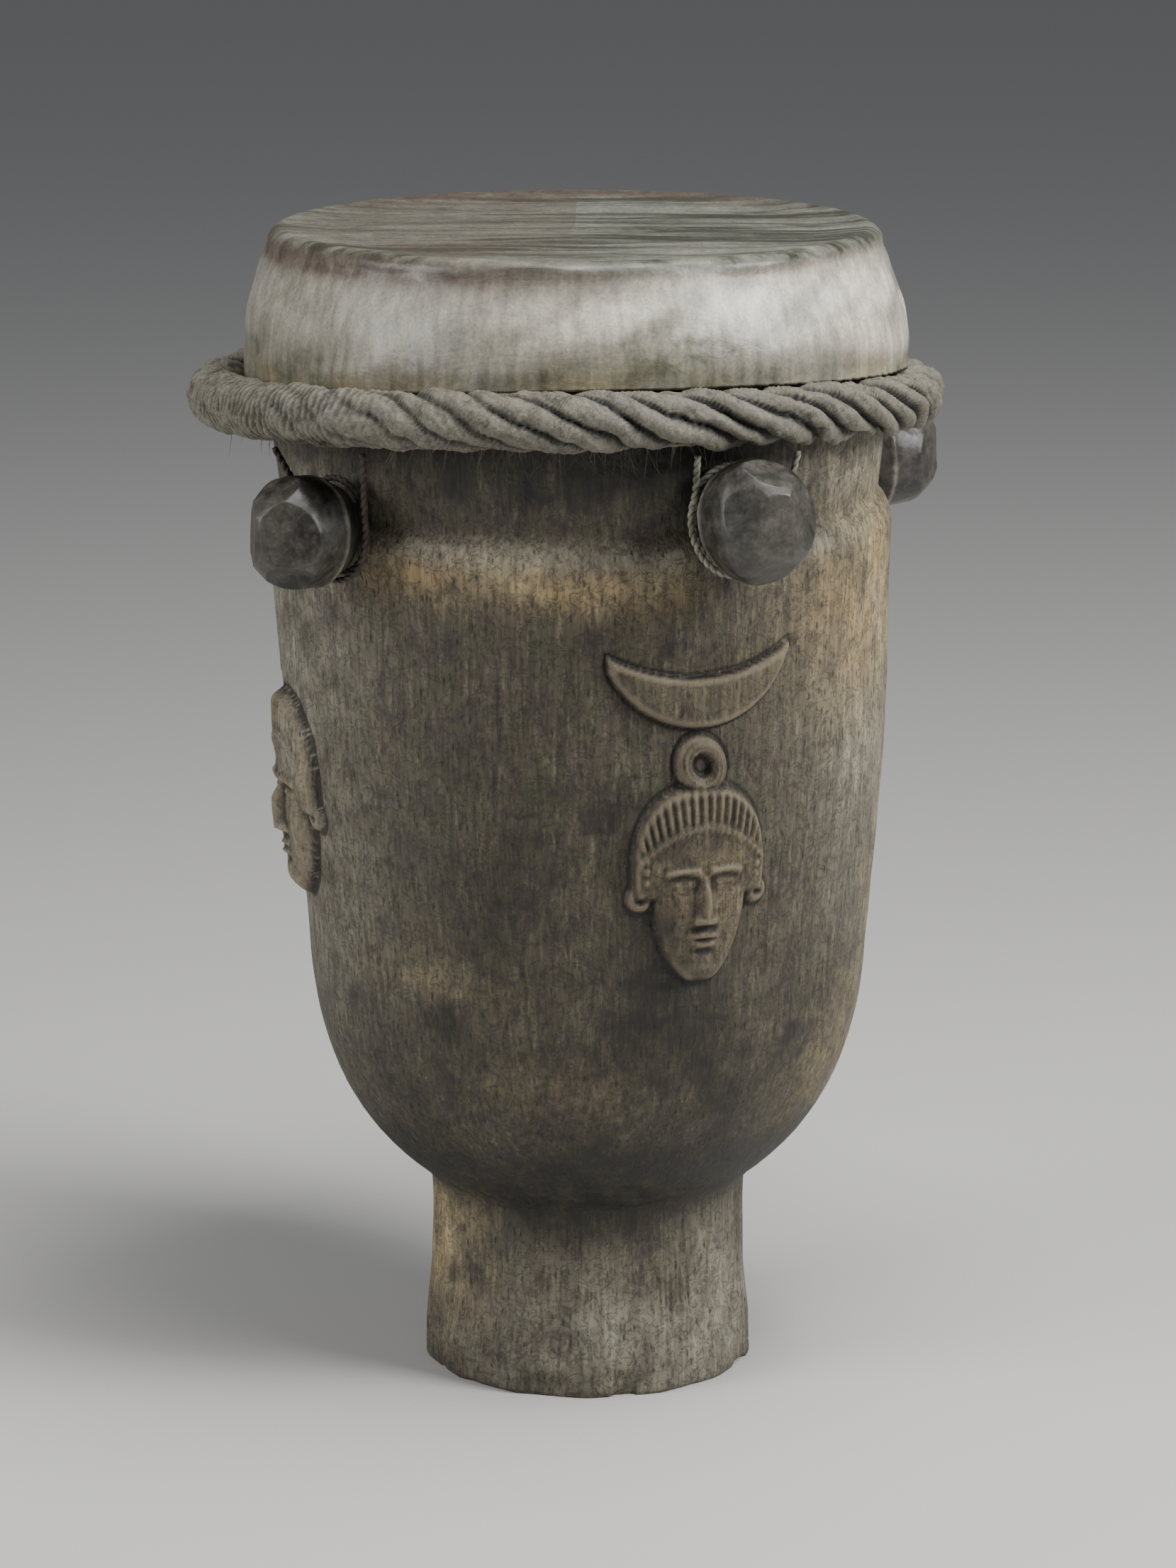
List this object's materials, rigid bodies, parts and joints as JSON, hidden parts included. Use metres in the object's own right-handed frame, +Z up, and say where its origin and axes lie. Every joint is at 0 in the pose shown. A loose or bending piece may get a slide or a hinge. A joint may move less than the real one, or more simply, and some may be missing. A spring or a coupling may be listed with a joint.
{
  "type": "carved goblet drum",
  "caption": "Goblet-shaped carved wooden drum with relief masks, a rawhide head held by a twisted hide hoop, and knobbed tension pegs.",
  "frame": {"origin": "on the floor, under the middle of the whole drum's box", "axes": "+Z up along the drum's axis, which is its longest extent; -Y is the front of the picture's view; +X to the viewer's right"},
  "size_m": [0.3284, 0.3286, 0.5],
  "materials": {
    "carved_wood": "dark aged hardwood, mottled, worn ochre at the shoulder",
    "rawhide": "dry grey rawhide with a dull sheen",
    "twisted_hide": "dry olive brown twisted hide",
    "peg_wood": "blackened wood, polished by handling",
    "cord": "dark plant fibre cord"
  },
  "bodies": {
    "root": {"drum_shell": "carved_wood", "drumhead": "rawhide", "tension_hoop": "twisted_hide", "peg_left": "peg_wood", "peg_front": "peg_wood", "peg_right": "peg_wood", "peg_back": "peg_wood", "lashing_left": "cord", "lashing_front": "cord", "lashing_right": "cord", "lashing_back": "cord"}
  },
  "joints": []
}
